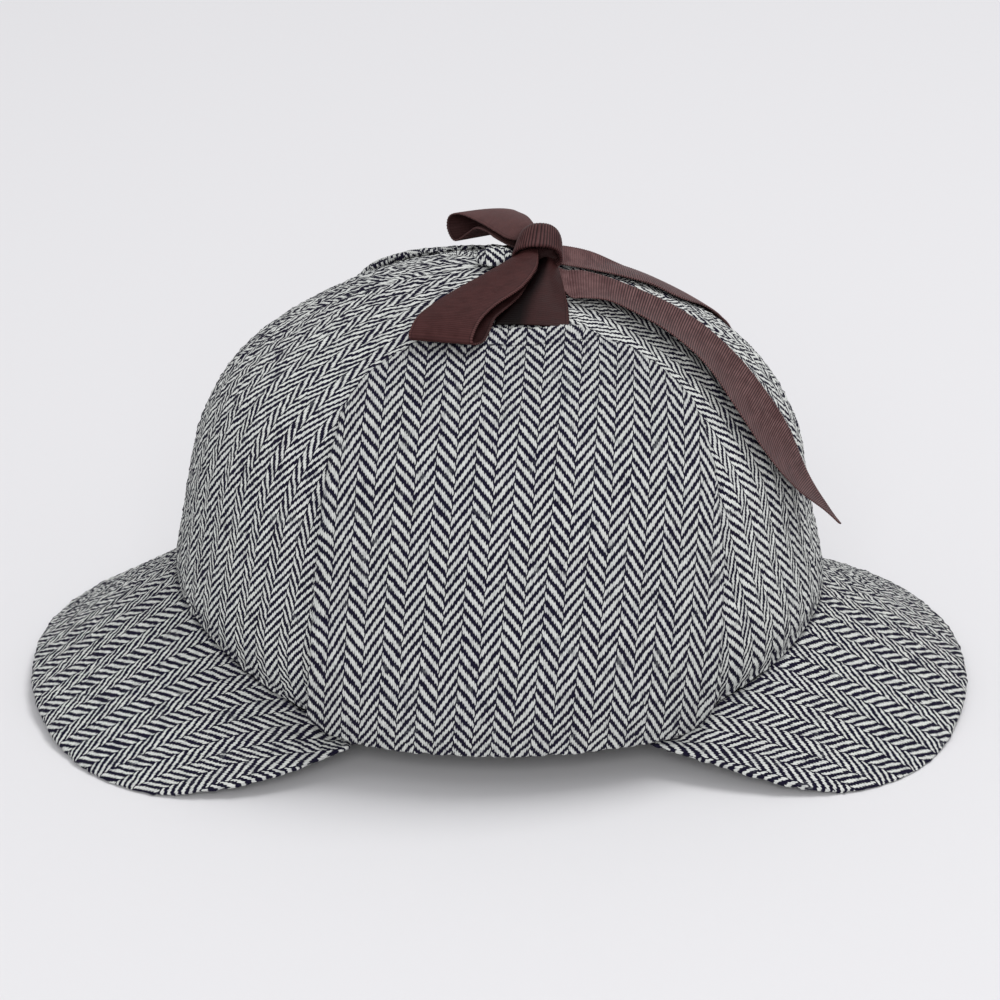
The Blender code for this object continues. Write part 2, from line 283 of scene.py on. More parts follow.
tweed = {
    "napDepth": 1.4,
    "napSize": 2.2,
    "columnWidth": 5.88,
    "period": 3.80,
    "rise": 1.30,  # how steeply the stripes climb across a column
    "offset": 0.45,  # how far a column is out of step with the one before
    "yarns": 8,  # warp yarns in a column
    "light": (0.68, 0.695, 0.665),
    "lightGrey": (0.34, 0.35, 0.35),
    "dark": (0.003, 0.0022, 0.012),
    "darkSoft": (0.012, 0.010, 0.026),
    "nap": (0.20, 0.21, 0.215),
    "crownShare": 0.495,  # how much of the cloth is pale
    "flapShare": 0.48,
    "peakShare": 0.445,
    "stitchLength": 2.8,
    # how fine each kind of unevenness is, in waves per metre
    "driftScale": 70.0,
    "wobbleScale": 900.0,
    "fuzzScale": 1500.0,
    "bareScale": 190.0,
    "napScale": 150.0,
    "darkScale": 2400.0,
    "relief": 0.5,
    "reliefDepth": 0.2,
    "gloss": 0.08,
    "sheen": 0.02,
    "sheenTint": (0.9, 0.9, 1.0),
}


napTexture = bpy.data.textures.new("nap", "CLOUDS")
napTexture.noise_scale = tweed["napSize"] * mm
napTexture.noise_depth = 1


def setOrLink(tree, socket, value):
    # a plain value is set on the socket itself, and a node's output is linked to it
    if isinstance(value, (int, float)):
        socket.default_value = value
    elif isinstance(value, tuple):
        socket.default_value = (*value, 1.0)
    else:
        tree.links.new(value, socket)


def number(tree, operation, *values, clamp=False):
    node = tree.nodes.new("ShaderNodeMath")
    node.operation = operation
    node.use_clamp = clamp
    for socket, value in zip(node.inputs, values):
        setOrLink(tree, socket, value)
    return node.outputs[0]


def plus(tree, base, share, value, clamp=False):
    # base, and a share of another value added to it
    return number(tree, "MULTIPLY_ADD", value, share, base, clamp=clamp)


def ease(tree, value, fromMin, fromMax, toMin, toMax):
    node = tree.nodes.new("ShaderNodeMapRange")
    node.interpolation_type = "SMOOTHSTEP"
    sockets = ("Value", "From Min", "From Max", "To Min", "To Max")
    for key, item in zip(sockets, (value, fromMin, fromMax, toMin, toMax)):
        setOrLink(tree, node.inputs[key], item)
    return node.outputs[0]


def noise(tree, coordinate, scale, detail=2.0, roughness=0.5):
    node = tree.nodes.new("ShaderNodeTexNoise")
    node.inputs["Scale"].default_value = scale
    node.inputs["Detail"].default_value = detail
    node.inputs["Roughness"].default_value = roughness
    tree.links.new(coordinate, node.inputs["Vector"])
    return node.outputs["Fac"]


def mixColour(tree, share, first, second):
    node = tree.nodes.new("ShaderNodeMix")
    node.data_type = "RGBA"
    sockets = (node.inputs[0], node.inputs[6], node.inputs[7])
    for socket, value in zip(sockets, (share, first, second)):
        setOrLink(tree, socket, value)
    return node.outputs[2]


def newMaterial(name):
    material = bpy.data.materials.new(name)
    material.use_nodes = True
    tree = material.node_tree
    return material, tree, tree.nodes["Principled BSDF"]


def randomOf(tree, first, second):
    # three random numbers for each pair of whole numbers
    join = tree.nodes.new("ShaderNodeCombineXYZ")
    for socket, value in zip(join.inputs, (first, second)):
        tree.links.new(value, socket)
    white = tree.nodes.new("ShaderNodeTexWhiteNoise")
    tree.links.new(join.outputs[0], white.inputs["Vector"])
    split = tree.nodes.new("ShaderNodeSeparateColor")
    tree.links.new(white.outputs["Color"], split.inputs[0])
    return [number(tree, "SUBTRACT", part, 0.5) for part in split.outputs]


def weaveCoordinates(tree):
    # how far across and along the weave a point lies, in mm, and its place in the hat
    uvNode = tree.nodes.new("ShaderNodeUVMap")
    uvNode.uv_map = "weave"
    split = tree.nodes.new("ShaderNodeSeparateXYZ")
    tree.links.new(uvNode.outputs[0], split.inputs[0])
    place = tree.nodes.new("ShaderNodeTexCoord").outputs["Object"]
    return split.outputs[0], split.outputs[1], place


def painted(tree, attribute):
    # a value that the mesh holds at each of its points
    node = tree.nodes.new("ShaderNodeAttribute")
    node.attribute_name = attribute
    return node.outputs["Fac"]


def addRelief(tree, shader, height, strength, depth):
    bump = tree.nodes.new("ShaderNodeBump")
    bump.inputs["Strength"].default_value = strength
    bump.inputs["Distance"].default_value = depth * mm
    tree.links.new(height, bump.inputs["Height"])
    tree.links.new(bump.outputs[0], shader.inputs["Normal"])


def clothShine(shader, gloss, sheen, sheenRoughness, sheenTint):
    shader.inputs["Specular IOR Level"].default_value = gloss
    shader.inputs["Sheen Weight"].default_value = sheen
    shader.inputs["Sheen Roughness"].default_value = sheenRoughness
    shader.inputs["Sheen Tint"].default_value = (*sheenTint, 1.0)


def herringboneTweed(name, lightShare, fallingShare=0.5, bright=1.0, soft=0.10):
    # fallingShare is the part of each pair of columns where the stripes fall to the right,
    # which the crown's curve draws narrower on one side and wider on the other
    material, tree, shader = newMaterial(name)
    t = tweed
    across, along, place = weaveCoordinates(tree)
    calc, add, blend, fade = (partial(tool, tree) for tool in (number, plus, mixColour, ease))
    drift = calc("SUBTRACT", noise(tree, place, t["driftScale"], 1.0), 0.5)
    wobble = calc("SUBTRACT", noise(tree, place, t["wobbleScale"], 2.0), 0.5)
    u = add(add(across, 0.9, drift), 0.30, wobble)
    v = add(add(along, -0.7, drift), 0.45, wobble)
    pairWidth = 2 * t["columnWidth"]
    pair = calc("DIVIDE", u, pairWidth)
    inPair = calc("FRACT", pair)
    falling = calc("MULTIPLY", inPair, 0.5 / fallingShare)
    falling = calc("MINIMUM", falling, 0.5)
    rising = calc("SUBTRACT", inPair, fallingShare)
    rising = calc("MULTIPLY", calc("MAXIMUM", rising, 0.0), 0.5 / (1 - fallingShare))
    inPair = calc("ADD", falling, rising)
    u = calc("MULTIPLY", calc("ADD", calc("FLOOR", pair), inPair), pairWidth)
    # columns, each the mirror of the next and nearly half a stripe out of step
    column = calc("DIVIDE", u, t["columnWidth"])
    inColumn = calc("FRACT", column)
    odd = calc("GREATER_THAN", calc("FRACT", calc("MULTIPLY", column, 0.5)), 0.5)
    zigzag = calc("DIVIDE", calc("PINGPONG", u, t["columnWidth"]), t["columnWidth"])
    # the stripes climb in small steps, one for each yarn
    turnOver = 2 * math.pi * t["yarns"]
    turn = calc("MULTIPLY", zigzag, turnOver)
    stair = add(zigzag, -1.5 / turnOver, calc("SINE", turn))
    climb = add(v, t["rise"] * t["columnWidth"], stair)
    step = add(calc("DIVIDE", climb, t["period"]), t["offset"], odd)
    yarnIndex = calc("FLOOR", calc("MULTIPLY", column, t["yarns"]))
    shift, width, shade = randomOf(tree, yarnIndex, calc("FLOOR", step))
    stripeMiddle = calc("MULTIPLY_ADD", shift, 0.05, 0.5)
    fromLight = calc("SUBTRACT", calc("FRACT", step), stripeMiddle)
    fromLight = calc("MULTIPLY", calc("ABSOLUTE", fromLight), 2.0)
    toEdge = calc("MINIMUM", inColumn, calc("SUBTRACT", 1.0, inColumn))
    # how wide the light stripe is here
    roundYarn = calc("COSINE", turn)
    fuzz = calc("SUBTRACT", noise(tree, place, t["fuzzScale"], 2.0, 0.6), 0.5)
    bare = fade(noise(tree, place, t["bareScale"], 2.0, 0.6), 0.56, 0.72, 0.0, 1.0)
    share = fade(toEdge, 0.0, 0.10, lightShare - 0.14, lightShare)
    for amount, cause in ((0.30, fuzz), (0.16, width), (-0.08, roundYarn), (-0.16, bare)):
        share = add(share, amount, cause)
    low = calc("SUBTRACT", share, soft)
    high = calc("ADD", share, soft)
    light = fade(fromLight, low, high, 1.0, 0.0)
    light = calc("MULTIPLY", light, fade(toEdge, 0.0, 0.035, 0.78, 1.0))
    # each light yarn has painted shade at its sides, where it rounds off, is a little uneven, and is
    # greyer where the nap is worn
    grey = calc("MULTIPLY_ADD", roundYarn, 0.20, 0.20)
    grey = add(add(grey, 0.42, shade), -0.8, fuzz)
    grey = add(grey, 0.35, bare, clamp=True)
    lightTone = blend(grey, tuple(bright * c for c in t["light"]), t["lightGrey"])
    darkTone = blend(noise(tree, place, t["darkScale"], 2.0), t["dark"], t["darkSoft"])
    colour = blend(light, darkTone, lightTone)
    nap = fade(noise(tree, place, t["napScale"], 3.0, 0.65), 0.60, 0.74, 0.0, 0.55)
    nap = calc("MULTIPLY", nap, fade(fuzz, -0.2, 0.2, 0.3, 1.0))
    colour = blend(nap, colour, t["nap"])
    # painted shade that the mesh holds at its points darkens the cloth
    colour = blend(painted(tree, "paintedShade"), colour, t["dark"])
    # rows of stitches, sunk in the cloth
    row = fade(add(painted(tree, "stitch"), 0.10, fuzz), 0.84, 0.93, 0.0, 1.0)
    dash = calc("SINE", calc("MULTIPLY", across, 2 * math.pi / t["stitchLength"]))
    row = calc("MULTIPLY", row, fade(dash, -0.7, 0.3, 0.25, 0.85))
    colour = blend(row, colour, t["dark"])
    tree.links.new(colour, shader.inputs["Base Color"])
    # relief: rounded stripes of yarn and a fine nap
    height = calc("COSINE", calc("MULTIPLY", fromLight, math.pi))
    for amount, cause in ((-0.25, roundYarn), (2.0, fuzz), (-2.0, row)):
        height = add(height, amount, cause)
    addRelief(tree, shader, height, t["relief"], t["reliefDepth"])
    tree.links.new(fade(fuzz, -0.5, 0.5, 0.86, 0.98), shader.inputs["Roughness"])
    clothShine(shader, t["gloss"], t["sheen"], 0.6, t["sheenTint"])
    return material


ribbonCloth = {
    "width": 22.0,
    "rib": 0.85,
    "thread": 0.42,
    "reliefDepth": 0.16,
    "sheenTint": (0.9, 0.7, 0.68),
    "wall": 0.6,
    "ribRelief": 0.05,
    "tailClearance": 1.0,
    "edgeRelief": 0.10,
    "edgeRoll": 0.35,
    # laid flat the ribs stand up, pulled into the bow they are drawn smooth. The tones are lit and
    # shaded copies of one ribbon: the tails and the far loop painted lighter, the near loop, the legs and
    # the knot painted darker
    "flat": {"dark": (0.008, 0.0024, 0.0026), "mid": (0.092, 0.0385, 0.0390),
             "pale": (0.175, 0.0920, 0.0905), "stitch": (0.19, 0.105, 0.103), "groove": 0.96,
             "relief": 0.5, "gloss": 0.12, "sheen": 0.015, "plainStart": 34.0},
    "drawnShaded": {"dark": (0.0030, 0.0008, 0.0009), "mid": (0.048, 0.0166, 0.0161),
              "pale": (0.066, 0.0242, 0.0236), "stitch": (0.12, 0.052, 0.050), "groove": 0.25,
              "relief": 0.10, "gloss": 0.08, "sheen": 0.005, "plainStart": 0.0},
    "drawnLit": {"dark": (0.0030, 0.0008, 0.0009), "mid": (0.080, 0.0330, 0.0320),
              "pale": (0.110, 0.0500, 0.0485), "stitch": (0.12, 0.052, 0.050), "groove": 0.20,
              "relief": 0.10, "gloss": 0.12, "sheen": 0.012, "plainStart": 0.0},
    "knot": {"dark": (0.003, 0.0009, 0.0010), "mid": (0.052, 0.0175, 0.0180),
             "pale": (0.092, 0.0400, 0.0395), "stitch": (0.11, 0.050, 0.048), "groove": 0.85,
             "relief": 0.4, "gloss": 0.09, "sheen": 0.012, "plainStart": 0.0},
}


def ribbedRibbon(name, r):
    material, tree, shader = newMaterial(name)
    half = ribbonCloth["width"] / 2
    across, along, place = weaveCoordinates(tree)
    calc, add, blend, fade = (partial(tool, tree) for tool in (number, plus, mixColour, ease))
    ribIndex = calc("DIVIDE", along, ribbonCloth["rib"])
    fromRidge = calc("SUBTRACT", calc("FRACT", ribIndex), 0.5)
    fromRidge = calc("MULTIPLY", calc("ABSOLUTE", fromRidge), 2.0)
    groove = fade(fromRidge, 0.25, 0.95, 0.0, 1.0)
    thread = calc("SINE", calc("MULTIPLY", across, 2 * math.pi / ribbonCloth["thread"]))
    mottle = noise(tree, place, 260.0, 3.0, 0.6)
    stretchIndex = calc("FLOOR", calc("DIVIDE", across, half / 2))
    ribTone, _, _ = randomOf(tree, calc("FLOOR", ribIndex), stretchIndex)
    tone = add(fade(mottle, 0.3, 0.7, 0.1, 0.9), 0.35, ribTone, clamp=True)
    tone = blend(tone, r["mid"], r["pale"])
    # painted shade in the grooves between the ribs
    depth = r["groove"]
    if r["plainStart"]:  # the ribs hardly show near the knot
        depth = fade(along, 8.0, r["plainStart"], 0.4 * r["groove"], r["groove"])
    tone = blend(calc("MULTIPLY", groove, depth), tone, r["dark"])
    # the woven edge, a row of small turned stitches
    fromMiddle = calc("ABSOLUTE", calc("SUBTRACT", across, half))
    toEdge = calc("SUBTRACT", half, fromMiddle)
    selvage = fade(toEdge, 0.75, 0.95, 1.0, 0.0)
    stitch = calc("MULTIPLY", fade(fromRidge, 0.2, 0.7, 0.55, 0.0), selvage)
    tone = blend(stitch, tone, r["stitch"])
    gutterStart = fade(toEdge, 0.9, 1.05, 0.0, 1.0)
    gutter = calc("MULTIPLY", gutterStart, fade(toEdge, 1.05, 1.25, 1.0, 0.0))
    tone = blend(calc("MULTIPLY", gutter, 0.6), tone, r["dark"])
    # painted shade that the mesh holds at its points darkens the ribbon
    tone = blend(painted(tree, "paintedShade"), tone, r["dark"])
    tree.links.new(tone, shader.inputs["Base Color"])
    height = calc("SUBTRACT", 1.0, calc("POWER", fromRidge, 2.0))
    height = add(add(height, 0.12, thread), -0.8, gutter)
    addRelief(tree, shader, height, r["relief"], ribbonCloth["reliefDepth"])
    tree.links.new(fade(mottle, 0.3, 0.7, 0.40, 0.54), shader.inputs["Roughness"])
    clothShine(shader, r["gloss"], r["sheen"], 0.4, ribbonCloth["sheenTint"])
    return material


crownTweed = herringboneTweed("crownTweed", tweed["crownShare"])
frontTweed = herringboneTweed("frontTweed", tweed["crownShare"] - 0.045, 0.39, 1.16)
backTweed = herringboneTweed("backTweed", tweed["crownShare"] + 0.012, 0.61, 1.12)
flapTweed = herringboneTweed("flapTweed", tweed["flapShare"], soft=0.15)
peakTweed = herringboneTweed("peakTweed", tweed["peakShare"])
flatRibbon = ribbedRibbon("flatRibbon", ribbonCloth["flat"])
knotRibbon = ribbedRibbon("knotRibbon", ribbonCloth["knot"])
drawnShadedRibbon = ribbedRibbon("drawnShadedRibbon", ribbonCloth["drawnShaded"])
drawnLitRibbon = ribbedRibbon("drawnLitRibbon", ribbonCloth["drawnLit"])
print("materials made")


panels = {
    "angle": 60.0,
    "tip": apexLevel - 0.05,
    "seamGap": 0.12,  # half the gap left at a seam
    "seamRoll": 2.4,
    "seamDip": 0.9,
    "edgeRoll": 0.8,
    "rimRoll": 0.7,
    "rimBand": 3.0,  # the stitched line above the rim
    "bandGroove": 0.55,
    "puff": 0.35,
    "rimPucker": 0.7,
    "seamPucker": 0.35,
    "topShade": 0.09,  # painted shade: how much darker the front gores' tops are painted
    "holds": {"front": ["front_peak_cloth"], "side": ["front_peak_cloth", "back_peak_cloth"],
              "back": ["back_peak_cloth"]},
    "sideLie": {"start": (2.9, 0.0)},
    "frontLie": {"centre": (9.8, 87.0), "start": (5.0, 2.8), "closer": 0.16,
                 "lean": -0.04, "fan": -3.0, "tilt": -0.24, "sag": -4.0},
    "backLie": {"centre": (-7.9, 64.5), "start": (3.8, 1.6), "closer": 0.14, "lean": 0.08,
                "tilt": -0.14, "arch": 4.0, "sag": 5.0},
}
gores = {"front": frontTweed, "side": crownTweed, "back": backTweed}


def goreLengths(middleAngle):
    # for each level: the distance up the gore's middle, and a table across it
    up = lengthAlong(crownOn(np.full_like(levels, middleAngle), levels))
    turns = np.radians(np.linspace(-31, 31, 125))
    coarse = np.linspace(0, apexLevel, 141)
    grid = crownOn(middleAngle + turns[None, :], coarse[:, None] + 0 * turns[None, :])
    steps = np.linalg.norm(np.diff(grid, axis=1), axis=2)
    across = np.concatenate((np.zeros((len(coarse), 1)), np.cumsum(steps, axis=1)), axis=1)
    middle = len(turns) // 2
    across -= across[:, middle:middle + 1]
    return up, turns, coarse, across


def crownPanel(index, name):
    p = panels
    gore, wing = name.split("_")
    startAngle = math.radians(index * p["angle"])
    width = math.radians(p["angle"])
    middle = startAngle + width / 2
    up, turns, coarse, acrossTable = goreLengths(middle)

    def shape(across, along):
        low = rimLevel(startAngle + width * across)
        level = low + (p["tip"] - low) * along
        reach = np.minimum.reduce(crownReach(level))
        gap = p["seamGap"] / reach
        angle = startAngle + gap + (width - 2 * gap) * across
        # distance to the nearest seam and to the rim
        turnToSeam = np.minimum(angle - startAngle - gap, startAngle + width - gap - angle)
        toSeam = turnToSeam * np.minimum(reach * 1.1, 95)
        upRim = np.interp(level, levels, up) - np.interp(low, levels, up)
        roll = np.minimum(rollOver(toSeam, p["seamRoll"]), 1)
        edge = np.minimum(rollOver(upRim, p["rimRoll"]), rollOver(toSeam, p["edgeRoll"]))
        groove = p["bandGroove"] * np.exp(-((upRim - p["rimBand"]) / 0.55) ** 2)
        place = crownOn(angle, level)
        puff = clothWaves(place, 46, 5) * p["puff"] - p["puff"]
        pucker = np.exp(-upRim / 4.0) * clothWaves(place, 6, 9) * p["rimPucker"]
        nearSeam = np.exp(-toSeam / 3.0) * clothWaves(place, 9, 14) * p["seamPucker"]
        lift = -p["seamDip"] * (1 - roll) + puff + pucker + nearSeam - groove
        mid = -0.5 * crown["wall"]
        outer = crownLifted(angle, level, mid + (lift - mid) * edge)
        inner = crownLifted(angle, level, mid + (-crown["wall"] + puff - mid) * edge)
        # the place in the cloth, read from the gore's table of widths
        i = np.clip(np.searchsorted(coarse, level) - 1, 0, len(coarse) - 2)
        f = (level - coarse[i]) / (coarse[i + 1] - coarse[i])
        turn = np.clip((angle - middle - turns[0]) / (turns[1] - turns[0]), 0, len(turns) - 1.001)
        k = turn.astype(int)
        g = turn - k
        u0 = acrossTable[i, k] * (1 - g) + acrossTable[i, k + 1] * g
        u1 = acrossTable[i + 1, k] * (1 - g) + acrossTable[i + 1, k + 1] * g
        flat = np.stack((u0 * (1 - f) + u1 * f, np.interp(level, levels, up)), -1)
        # painted shade along the seams and in the stitched groove above the rim
        paintedShade = limited(limited(1 - toSeam / 0.5) * 0.8 + groove)
        # painted shade, growing towards the top of the front gores
        if gore == "front":
            paintedShade = np.maximum(paintedShade, p["topShade"] * limited((place[:, 2] - 105) / 28))
        if wing == "far":  # the far gores are cut as mirror images of the near ones
            flat[:, 0] *= -1
        uv = layCloth(flat, p[gore + "Lie"])
        # the cloth is drawn about where it is sewn to the peaks
        inBand = limited((p["rimBand"] + 1.2 - upRim) / 1.6)
        uv[:, 0] += inBand * (1.6 + 1.6 * clothWaves(place, 9, 31))
        uv[:, 1] += inBand * 1.4 * clothWaves(place, 8, 33)
        return outer, inner, uv, paintedShade, paintedShade, limited(1 - np.abs(upRim - p["rimBand"]) / 3)

    acrossLines, alongLines = gridLines(105, 2.4), gridLines(170, 2.6)
    piece = clothPad("panel_" + name + "_cloth", acrossLines, alongLines, shape, gores[gore])
    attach(piece, "root")
    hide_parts("panel_" + name)


roundTheCrown = ("back_far", "side_far", "front_far", "front_near", "side_near", "back_near")
for index, name in enumerate(roundTheCrown):
    crownPanel(index, name)
print("crown panels made")


peakWidths = (
    # degrees from the middle, front peak, back peak
    (0.0, 60.4, 57.7),
    (14.0, 60.5, 58.2),
    (28.0, 59.2, 58.2),
    (38.0, 52.8, 51.0),
    (46.0, 40.0, 37.6),
    (53.0, 25.8, 21.6),
    (59.0, 11.9, 9.0),
    (62.5, 3.7, 3.0),
)
peakEnd = peakWidths[-1][0]
peakCloth = {"thick": 3.0, "tuck": 1.4, "roll": 2.2, "innerRoll": 0.9, "wave": 0.3,
             # under the flaps, between these degrees from its middle, its inner edge drops
             "endDrop": 2.3, "dropFrom": 54.0, "dropTo": 58.0}
peaks = {
    "front_peak": {"direction": -1, "column": 1, "middleSlope": 33.8, "endSlope": 21.4,
                   "holds": ["panel_front_near_cloth", "panel_front_far_cloth"],
                   "lie": {"centre": (0.0, -127.0), "start": (8.2, 3.3), "closer": 0.10,
                           "fan": 6.0, "arch": -7.5, "sag": -1.5}},
    "back_peak": {"direction": 1, "column": 2, "middleSlope": 30.2, "endSlope": 19.8,
                  "holds": ["panel_back_near_cloth", "panel_back_far_cloth"],
                  "lie": {"centre": (0.0, -127.5), "start": (3.2, 2.4), "closer": -0.05,
                          "fan": 6.0, "arch": -6.8, "sag": -1.5}},
}
_, peakTable = smoothRows(peakWidths, 60)


def peakPiece(name):
    p = {**peakCloth, **peaks[name]}

    def shape(across, along):
        fromMiddle = peakEnd * (2 * across - 1)
        angle = np.radians(fromMiddle if p["direction"] > 0 else 180 + fromMiddle)
        inner = crownOn(angle, rimLevel(angle))
        ahead = crownOn(angle + 0.01, rimLevel(angle + 0.01))
        behind = crownOn(angle - 0.01, rimLevel(angle - 0.01))
        way = ahead - behind
        outward = np.stack((way[:, 1], -way[:, 0], 0 * way[:, 0]), -1)
        outward /= np.linalg.norm(outward, axis=1, keepdims=True)
        width = np.interp(np.abs(fromMiddle), peakTable[:, 0], peakTable[:, p["column"]])
        ends = (np.abs(fromMiddle) / peakEnd) ** 2
        slope = np.radians(p["middleSlope"] + (p["endSlope"] - p["middleSlope"]) * ends)
        downOut = outward * np.cos(slope)[:, None]
        downOut[:, 2] -= np.sin(slope)
        top = inner + outward * 0.3 + downOut * (width * along - p["tuck"] * (1 - along))[:, None]
        hidden = limited((np.abs(fromMiddle) - p["dropFrom"]) / (p["dropTo"] - p["dropFrom"]))
        top[:, 2] -= p["endDrop"] * hidden * hidden * (3 - 2 * hidden) * (1 - along)
        # the sheet's own facing
        side = np.stack((-outward[:, 1], outward[:, 0], 0 * width), -1)
        facing = np.cross(downOut, side)
        facing *= np.sign(facing[:, 2])[:, None]
        facing /= np.linalg.norm(facing, axis=1, keepdims=True)
        toOuter = width * (1 - along)
        toInner = width * along
        toEnd = (peakEnd - np.abs(fromMiddle)) * 1.7
        outerEdge = rollOver(np.minimum(toOuter, toEnd), p["roll"])
        edge = np.minimum(outerEdge, rollOver(toInner, p["innerRoll"]))
        wave = clothWaves(top, 60, 11) * p["wave"] - p["wave"]
        half = 0.5 * p["thick"]
        outer = top + facing * (-half + (wave + half) * edge)[:, None]
        under = top + facing * (-half - half * edge)[:, None]
        # clear of the floor, with the fine relief that the nap adds
        outer[:, 2] = np.maximum(outer[:, 2], 0.55)
        under[:, 2] = np.maximum(under[:, 2], 0.4)
        fall = np.abs(downOut[:, 2]) * np.abs(outward[:, 0]) / np.maximum(np.cos(slope), 0.1)
        slopeX = np.cos(np.arctan(fall))
        flat = np.stack((top[:, 1], -p["direction"] * top[:, 0] / np.maximum(slopeX, 0.5)), -1)
        # painted shade along the inner edge, where the peak tucks under the crown
        paintedShade = limited(1 - (toInner - p["tuck"]) / 0.4) * 0.5
        return outer, under, layCloth(flat, p["lie"]), paintedShade, paintedShade, 0 * across

    acrossLines, alongLines = gridLines(250, 2.4), gridLines(60, 2.4)
    piece = clothPad(name + "_cloth", acrossLines, alongLines, shape, peakTweed, flip=True)
    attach(piece, "root")
    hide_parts(name)


for name in peaks:
    peakPiece(name)
print("peaks made")


flapOutline = (
    # distance up the crown from the fold, front edge, back edge
    (0.0, -45.0, 52.0),
    (0.9, -49.5, 58.5),
    (2.2, -54.0, 62.2),
    (4.5, -58.0, 65.0),
    (8.0, -60.3, 67.2),
    (14.0, -60.2, 68.6),
    (32.0, -58.5, 69.0),
    (58.0, -56.5, 68.8),
    (80.0, -54.0, 67.0),
    (98.0, -51.0, 63.8),
    (112.0, -47.0, 58.0),
    (122.0, -40.5, 49.5),
    (131.0, -32.0, 40.5),
    (138.0, -22.5, 30.5),
    (144.0, -12.0, 22.5),
)
_, flapTable = smoothRows(flapOutline, 60)
flapCloth = {
    "clearance": 1.1,
    "middleLift": 0.7,
    "thick": 3.0,
    "roll": 2.2,
    "ragged": 0.7,
    "sewnAt": 136.8,
    "wave": 0.35,
    "topShade": 0.17,  # painted shade, a little darker near the bow
    # rows of the mesh, closer together where the outline turns at the low and the high end
    "lowRows": (0, 0.25, 0.6, 1.1, 1.8, 2.7, 3.9, 5.4, 7.2, 9.2, 11.4),
    "highRows": (136.8, 138.6, 140.2, 141.4, 142.5, 143.2, 143.7, 144),
}
flaps = {
    "ear_flap_near": {"side": -1, "topLift": 0.0, "endPress": 0.0, "backTrim": 0.0,
                      "holds": ["panel_side_near_cloth"],
                      "lie": {"centre": (5.6, 68.7), "start": (2.9, 1.5), "closer": -0.02,
                              "lean": -0.08, "tilt": -0.09, "arch": 7.5, "sag": 3.0}},
    "ear_flap_far": {"side": 1, "topLift": 1.8, "endPress": 0.85, "backTrim": 0.18,
                     "holds": ["panel_side_far_cloth"],
                     "lie": {"start": (2.9, 0.0)}},
}


def arcFromMiddle(x, level):
    # distance round the crown from its side line at this level, for each x
    front, back, side = crownReach(level)
    total = np.zeros_like(x)
    steps = 24
    for k in range(steps):
        at = x * (k + 0.5) / steps
        reach = np.where(x > 0, back, front)
        slope = side * at / (reach**2 * np.sqrt(np.maximum(1 - (at / reach) ** 2, 0.02)))
        total += np.sqrt(1 + slope**2) * x / steps
    return total


def flapPiece(name):
    f = {**flapCloth, **flaps[name]}
    longest = flapOutline[-1][0]
    table = flapTable.copy()
    table[:, 2] *= 1 - f["backTrim"] * limited((table[:, 0] - 100) / 30)
    frontEdge, backEdge = table[:, [1, 0]], table[::-1][:, [2, 0]]
    outline = np.vstack((frontEdge, backEdge, frontEdge[:1]))
    starts, ends = outline[:-1], outline[1:]

    def toOutline(points):
        nearest = np.full(len(points), 1e9)
        for a, b in zip(starts, ends):
            line = b - a
            size = max(line @ line, 1e-12)
            t = limited(((points - a) @ line) / size)
            nearest = np.minimum(nearest, np.linalg.norm(points - a - t[:, None] * line, axis=1))
        return nearest

    def shape(across, along):
        distance = longest * along
        front = np.interp(distance, table[:, 0], table[:, 1])
        back = np.interp(distance, table[:, 0], table[:, 2])
        rag = clothWaves(np.stack((distance, 0 * distance, 40 * np.round(across)), -1), 7, 41)
        x = front + (back - front) * across + f["ragged"] * rag * (2 * across - 1)
        distance = distance + f["ragged"] * clothWaves(np.stack((x, 0 * x, 0 * x), -1), 7, 43) * along**6
        level = levelAt(distance)
        frontReach, backReach, _ = crownReach(level)
        angle = np.arccos(x / np.where(x > 0, backReach, frontReach)) * f["side"]
        toEdge = toOutline(np.stack((x, distance), -1))
        edge = rollOver(toEdge, f["roll"])
        base = f["clearance"] + f["middleLift"] * np.sin(math.pi * along)
        base = base + f["topLift"] * along**3 * (1 - across)
        pressed = f["endPress"] * limited((distance - 118 + 14 * across) / (22 + 14 * across)) ** 2
        base = base * (1 - pressed)
        place = np.stack((x, distance, 0 * x), -1)
        wave = clothWaves(place, 55, 21) * f["wave"]
        half = 0.5 * f["thick"] * (1 - 0.5 * pressed)
        hem = np.exp(-toEdge / 3.5)
        groove = 0.25 * np.exp(-((toEdge - 3.2) / 0.8) ** 2) - 0.45 * hem * clothWaves(place, 7, 45)
        nearRow = limited(1 - np.abs(along * longest - f["sewnAt"]) / 3)
        outer = crownLifted(angle, level, base + half + (half + wave - groove - 0.25 * nearRow**3) * edge)
        inner = crownLifted(angle, level, base + half - half * edge)
        flat = np.stack((arcFromMiddle(x, level), distance), -1)
        uv = layCloth(flat, f["lie"]) + (hem * clothWaves(place, 8, 47) * 1.1)[:, None]
        # painted shade, growing towards the top of the flap near the bow
        shade = f["topShade"] * limited((distance - 80) / 45)
        return outer, inner, uv, shade, 0 * x, nearRow

    rows = [*f["lowRows"], *np.linspace(13.8, 134.4, 51), *f["highRows"]]
    piece = clothPad(name + "_cloth", gridLines(130, 2.4), np.array(rows) / longest, shape, flapTweed,
                     flip=f["side"] > 0, foldAt=longest)
    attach(piece, "root")
    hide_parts(name)


for name in flaps:
    flapPiece(name)
print("ear flaps made")


# the covered button on the crown's top
button = {"radius": 6.2, "height": 4.6, "skirt": 0.9, "x": -1.5, "base": 147.8}


